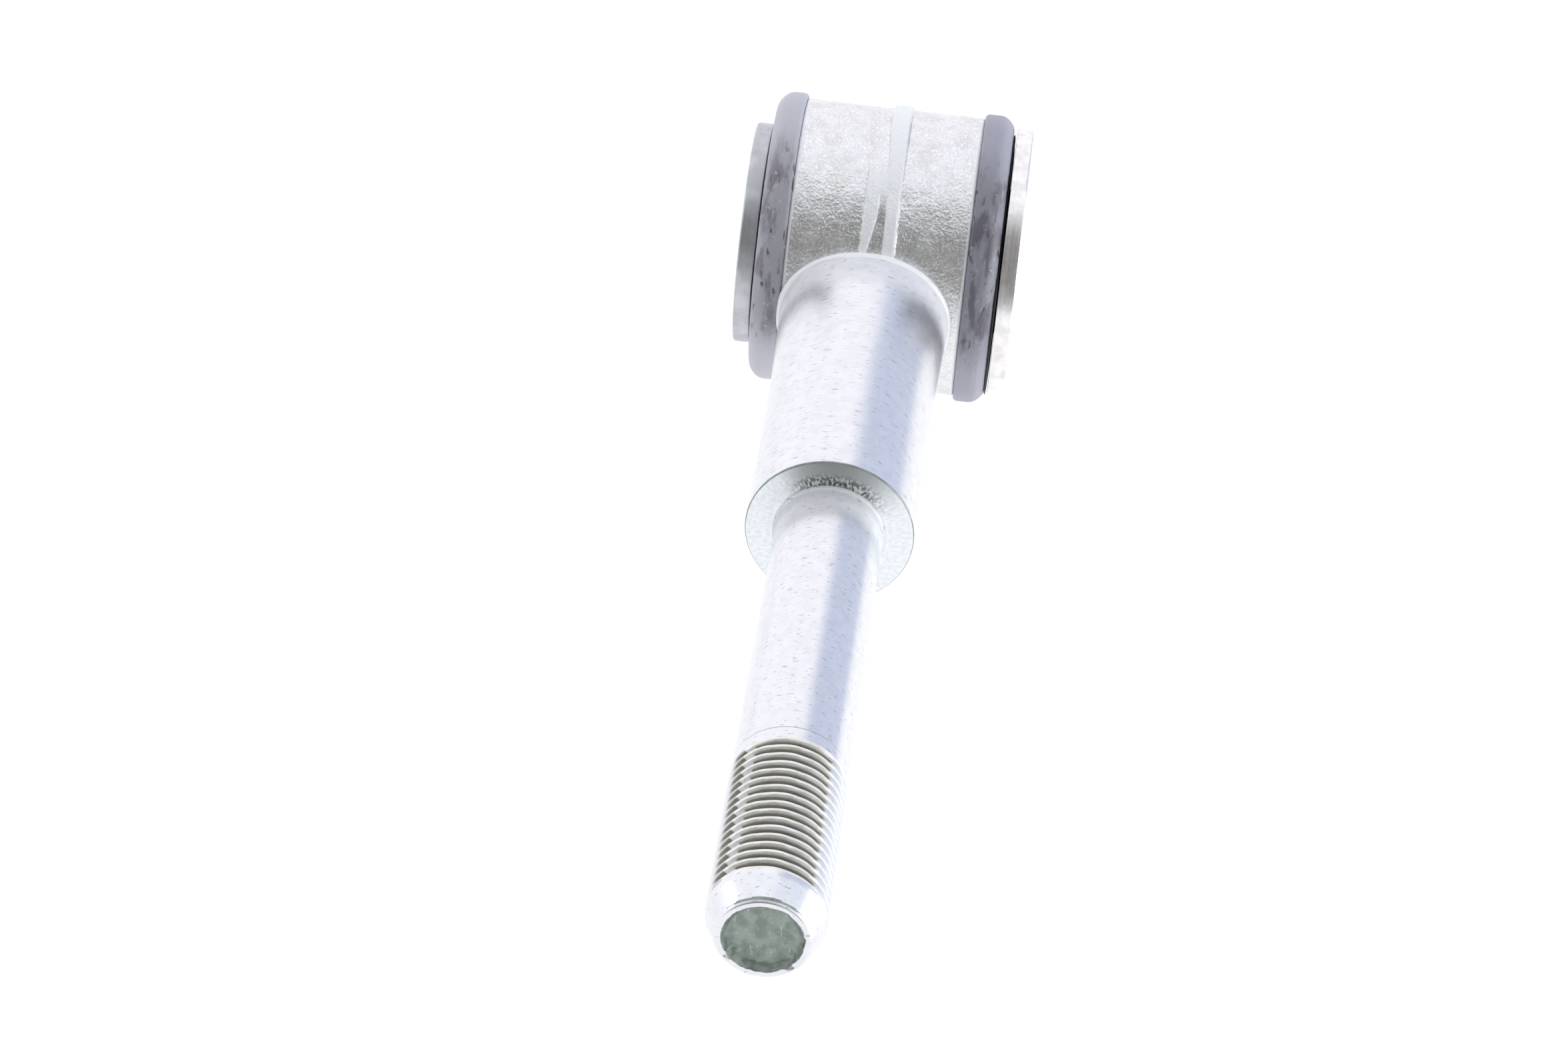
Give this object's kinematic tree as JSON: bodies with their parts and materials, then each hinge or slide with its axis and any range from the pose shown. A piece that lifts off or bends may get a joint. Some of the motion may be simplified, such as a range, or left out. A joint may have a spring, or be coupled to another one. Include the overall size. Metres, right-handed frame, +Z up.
{
  "type": "stabiliser link rod with rubber-bushed eye",
  "caption": "Forged link rod with a stepped, threaded stud end and an eye that holds a rubber-metal bush between steel end pieces.",
  "frame": {"origin": "where the rod's axis crosses the axis of the eye's bolt bore, which is the middle of the bush", "axes": "+X along the rod to its threaded end, +Y along the bolt bore to the side with the steel disc, +Z up, across both"},
  "size_m": [0.17, 0.038, 0.04],
  "materials": {
    "zinc_plated_steel": "bright zinc plate, blasted forging skin on the eye, turned smooth on the rod",
    "sleeve_steel": "drawn tube",
    "core_rubber": "moulded, matt",
    "buffer_rubber": "moulded, matt, worn in blotches",
    "seal_rubber": "moulded, matt",
    "inner_sleeve_steel": "turned",
    "end_steel": "turned, satin"
  },
  "bodies": {
    "inner_metal": {"inner_sleeve": "inner_sleeve_steel", "left_collar": "end_steel", "right_disc": "end_steel", "seal_ring": "seal_rubber"},
    "bush_rubber": {"rubber_core": "core_rubber", "left_buffer": "buffer_rubber", "right_buffer": "buffer_rubber"},
    "link": {"link_forging": "zinc_plated_steel", "outer_sleeve": "sleeve_steel"}
  },
  "joints": [
    {"name": "bush_twist", "type": "hinge", "parent": "inner_metal", "child": "bush_rubber", "pos_m": [0, 0, 0], "axis": [0, 1, 0], "range_deg": [-30, 30], "stiffness_Nm_per_rad": 57},
    {"name": "bush_tilt", "type": "hinge", "parent": "bush_rubber", "child": "link", "pos_m": [0, 0, 0], "axis": [0, 0, 1], "range_deg": [-4, 4], "stiffness_Nm_per_rad": 170, "deforming": ["rubber_core", "left_buffer", "right_buffer"]}
  ]
}
